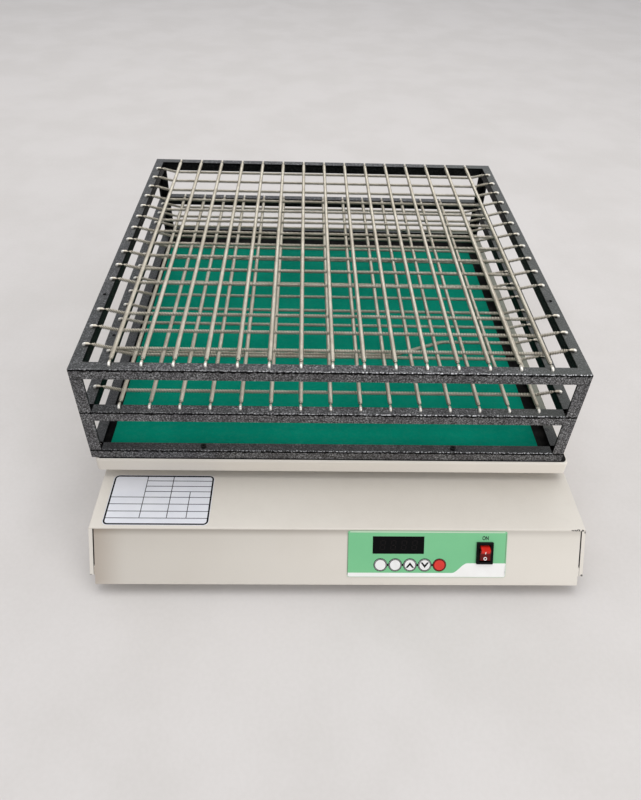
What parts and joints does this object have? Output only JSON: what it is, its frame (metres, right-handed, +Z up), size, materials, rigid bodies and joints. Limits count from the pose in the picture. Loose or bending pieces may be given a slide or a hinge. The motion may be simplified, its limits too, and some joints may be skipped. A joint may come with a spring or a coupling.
{
  "type": "laboratory orbital shaker",
  "caption": "Open benchtop orbital shaker with a low steel base, an inclined control panel and a tray whose rack of stretched springs holds flasks.",
  "frame": {"origin": "middle of the base's footprint, on the surface that the rubber feet stand on", "axes": "+X to the right, +Y from the control panel to the back, +Z up"},
  "size_m": [0.4638, 0.5601, 0.1935],
  "materials": {
    "base_paint": "warm off-white powder coat, satin",
    "tray_paint": "warm off-white powder coat, satin",
    "hammertone": "black and silver hammertone paint",
    "spring_steel": "drawn spring wire, satin",
    "black_liner": "black, matt",
    "green_mat": "green, matt, fine texture",
    "foot_rubber": "black, matt",
    "black_screws": "black oxide",
    "zinc_screws": "bright zinc plated",
    "label_card": "white printed film",
    "overlay_film": "light green film with a white lower band",
    "window_black": "black, glossy",
    "display_black": "black moulding",
    "circuit_board": "green solder mask",
    "brass_plate": "turned brass",
    "switch_black": "black moulding",
    "key_white": "white, glossy",
    "key_red": "red, glossy",
    "bezel_black": "black nylon, glossy",
    "rocker_red": "red translucent plastic",
    "supply_case": "pierced zinc sheet",
    "machined_aluminium": "machined",
    "cast_aluminium": "cast",
    "machined_steel": "turned",
    "bearing_steel": "ground",
    "stator_copper": "enamelled copper windings on a steel core",
    "rotor_paint": "black",
    "belt_rubber": "black",
    "weight_iron": "blackened",
    "galvanised": "zinc sheet"
  },
  "bodies": {
    "base": {"base_pan": "base_paint", "top_cover": "base_paint", "cover_screws": "zinc_screws", "rubber_feet": "foot_rubber", "foot_screws": "zinc_screws", "blank_label": "label_card", "control_overlay": "overlay_film", "display_window": "window_black", "display_module": "display_black", "control_board": "circuit_board", "board_standoffs": "brass_plate", "key_switches": "switch_black", "rocker_bezel": "bezel_black", "mains_inlet": "switch_black", "inlet_screws": "zinc_screws", "power_supply": "supply_case", "motor_drive_board": "circuit_board", "motor_bracket": "galvanised", "motor_stator": "stator_copper", "motor_screws": "zinc_screws", "drive_belt": "belt_rubber", "main_bearing_housing": "cast_aluminium", "main_bearings": "bearing_steel", "housing_screws": "zinc_screws", "idler_columns": "cast_aluminium", "idler_bearings": "bearing_steel"},
    "drive_crank": {"main_shaft": "machined_steel", "drive_pulley": "machined_aluminium", "eccentric_hub": "machined_steel", "counterweight": "weight_iron", "counterweight_screws": "zinc_screws"},
    "shaking_platform": {"carrier_plate": "galvanised", "carrier_bearing_housings": "cast_aluminium", "carrier_bearings": "bearing_steel", "tray": "tray_paint", "tray_screws": "zinc_screws", "tray_liner": "black_liner", "rubber_mat": "green_mat", "rack_bottom_frame": "hammertone", "rack_middle_frame": "hammertone", "rack_top_frame": "hammertone", "rack_posts": "hammertone", "rack_screws": "black_screws", "top_long_springs": "spring_steel", "top_cross_springs": "spring_steel", "middle_long_springs": "spring_steel", "middle_cross_springs": "spring_steel", "strayed_cross_spring": "spring_steel"},
    "motor_spindle": {"motor_rotor": "rotor_paint", "motor_pulley": "machined_aluminium"},
    "power_rocker": {"rocker_button": "rocker_red"},
    "front_left_idler": {"front_left_idler_crank": "machined_steel"},
    "front_right_idler": {"front_right_idler_crank": "machined_steel"},
    "back_left_idler": {"back_left_idler_crank": "machined_steel"},
    "back_right_idler": {"back_right_idler_crank": "machined_steel"},
    "mode_key_cap": {"mode_key": "key_white"},
    "set_key_cap": {"set_key": "key_white"},
    "up_key_cap": {"up_key": "key_white"},
    "down_key_cap": {"down_key": "key_white"},
    "start_stop_key_cap": {"start_stop_key": "key_red"}
  },
  "joints": [
    {"name": "crank_spin", "type": "hinge", "parent": "base", "child": "drive_crank", "pos_m": [0, 0.03, 0.06], "axis": [0, 0, 1], "continuous": true},
    {"name": "platform_orbit", "type": "hinge", "parent": "drive_crank", "child": "shaking_platform", "pos_m": [-0.00449, 0.03893, 0.078], "axis": [0, 0, 1], "continuous": true},
    {"name": "motor_spin", "type": "hinge", "parent": "base", "child": "motor_spindle", "pos_m": [0, -0.093, 0.04], "axis": [0, 0, 1], "continuous": true},
    {"name": "front_left_idler_spin", "type": "hinge", "parent": "base", "child": "front_left_idler", "pos_m": [-0.165, -0.135, 0.06], "axis": [0, 0, 1], "continuous": true},
    {"name": "front_right_idler_spin", "type": "hinge", "parent": "base", "child": "front_right_idler", "pos_m": [0.165, -0.135, 0.06], "axis": [0, 0, 1], "continuous": true},
    {"name": "back_left_idler_spin", "type": "hinge", "parent": "base", "child": "back_left_idler", "pos_m": [-0.165, 0.195, 0.06], "axis": [0, 0, 1], "continuous": true},
    {"name": "back_right_idler_spin", "type": "hinge", "parent": "base", "child": "back_right_idler", "pos_m": [0.165, 0.195, 0.06], "axis": [0, 0, 1], "continuous": true},
    {"name": "power_rocker_tilt", "type": "hinge", "parent": "base", "child": "power_rocker", "pos_m": [0.1347, -0.25978, 0.03783], "axis": [-1, 0, 0], "range_deg": [0, 24]},
    {"name": "mode_key_press", "type": "slide", "parent": "base", "child": "mode_key_cap", "axis": [0, 0.835, -0.5503], "range_m": [0, 0.0004], "stiffness_N_per_m": 2000},
    {"name": "set_key_press", "type": "slide", "parent": "base", "child": "set_key_cap", "axis": [0, 0.835, -0.5503], "range_m": [0, 0.0004], "stiffness_N_per_m": 2000},
    {"name": "up_key_press", "type": "slide", "parent": "base", "child": "up_key_cap", "axis": [0, 0.835, -0.5503], "range_m": [0, 0.0004], "stiffness_N_per_m": 2000},
    {"name": "down_key_press", "type": "slide", "parent": "base", "child": "down_key_cap", "axis": [0, 0.835, -0.5503], "range_m": [0, 0.0004], "stiffness_N_per_m": 2000},
    {"name": "start_stop_key_press", "type": "slide", "parent": "base", "child": "start_stop_key_cap", "axis": [0, 0.835, -0.5503], "range_m": [0, 0.0004], "stiffness_N_per_m": 2000}
  ],
  "couplings": [
    {"joint": "platform_orbit", "follows": "crank_spin", "ratio": -1},
    {"joint": "motor_spin", "follows": "crank_spin", "ratio": 3.2},
    {"joint": "front_left_idler_spin", "follows": "crank_spin", "ratio": 1},
    {"joint": "front_right_idler_spin", "follows": "crank_spin", "ratio": 1},
    {"joint": "back_left_idler_spin", "follows": "crank_spin", "ratio": 1},
    {"joint": "back_right_idler_spin", "follows": "crank_spin", "ratio": 1}
  ]
}
